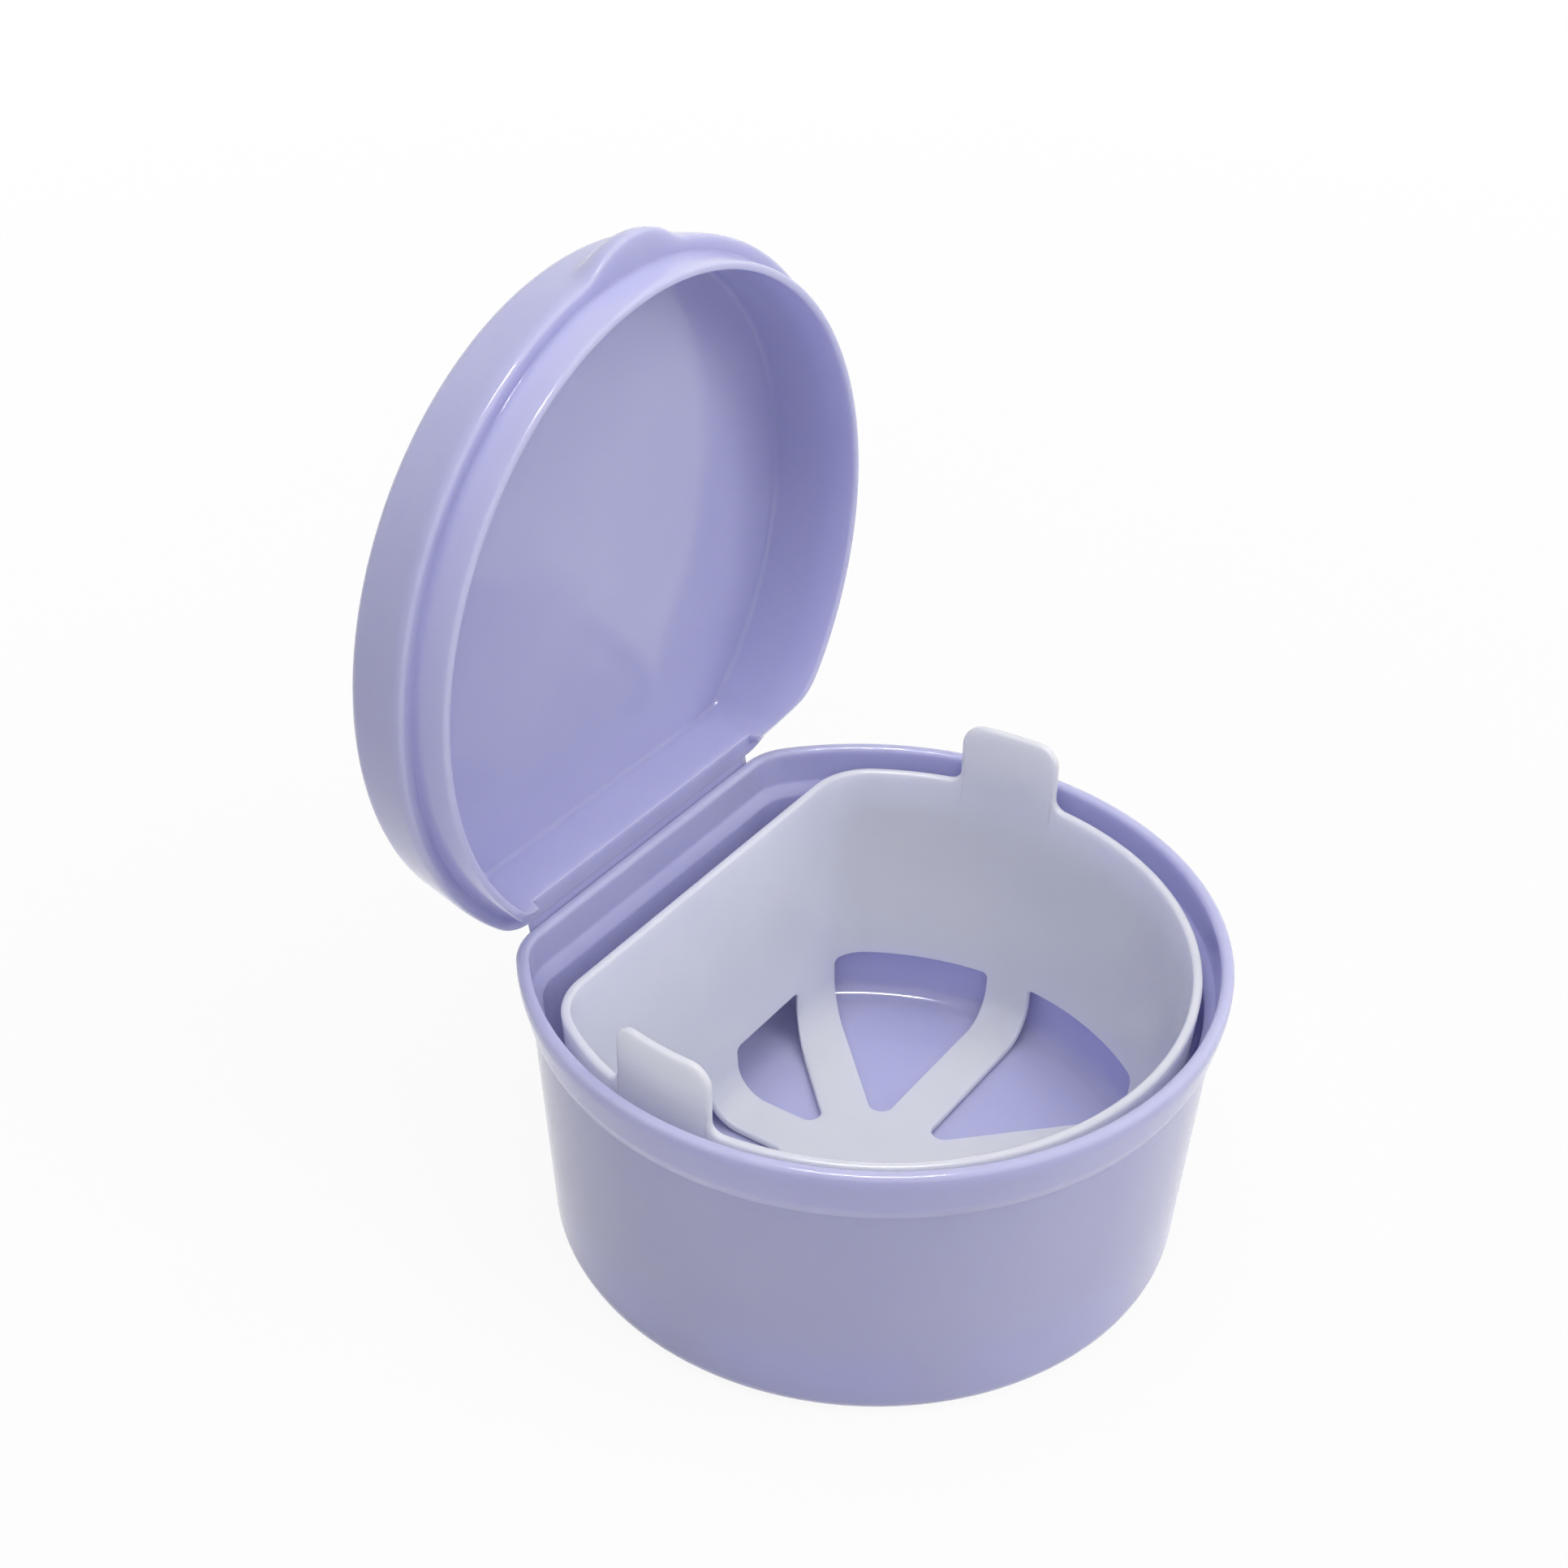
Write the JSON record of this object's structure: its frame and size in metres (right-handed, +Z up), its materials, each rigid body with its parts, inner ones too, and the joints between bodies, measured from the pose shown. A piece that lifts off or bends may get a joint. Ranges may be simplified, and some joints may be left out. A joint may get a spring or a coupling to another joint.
{
  "type": "orthodontic retainer case",
  "caption": "D-shaped retainer bath with a hinged snap lid, a deep cup and a lift-out strainer basket with side tabs and a spoked, drained floor.",
  "frame": {"origin": "on the underside of the cup, below the centre of the round front", "axes": "+Z up; the round front faces -Y; the film hinge runs along X at the flat back, on +Y; the lid stands open at a right angle"},
  "size_m": [0.09, 0.0902, 0.1266],
  "materials": {
    "case_plastic": "satin",
    "basket_plastic": "satin"
  },
  "bodies": {
    "case": {"base_cup": "case_plastic", "living_hinge": "case_plastic"},
    "cover": {"lid": "case_plastic"},
    "basket": {"strainer_basket": "basket_plastic"}
  },
  "joints": [
    {"name": "lid_hinge", "type": "hinge", "parent": "case", "child": "cover", "pos_m": [0, 0.03633, 0.04275], "axis": [-1, 0, 0], "range_deg": [-90, 90], "deforming": ["living_hinge"]},
    {"name": "basket_lift", "type": "slide", "parent": "case", "child": "basket", "axis": [0, 0, 1], "range_m": [0, 0.06]}
  ]
}
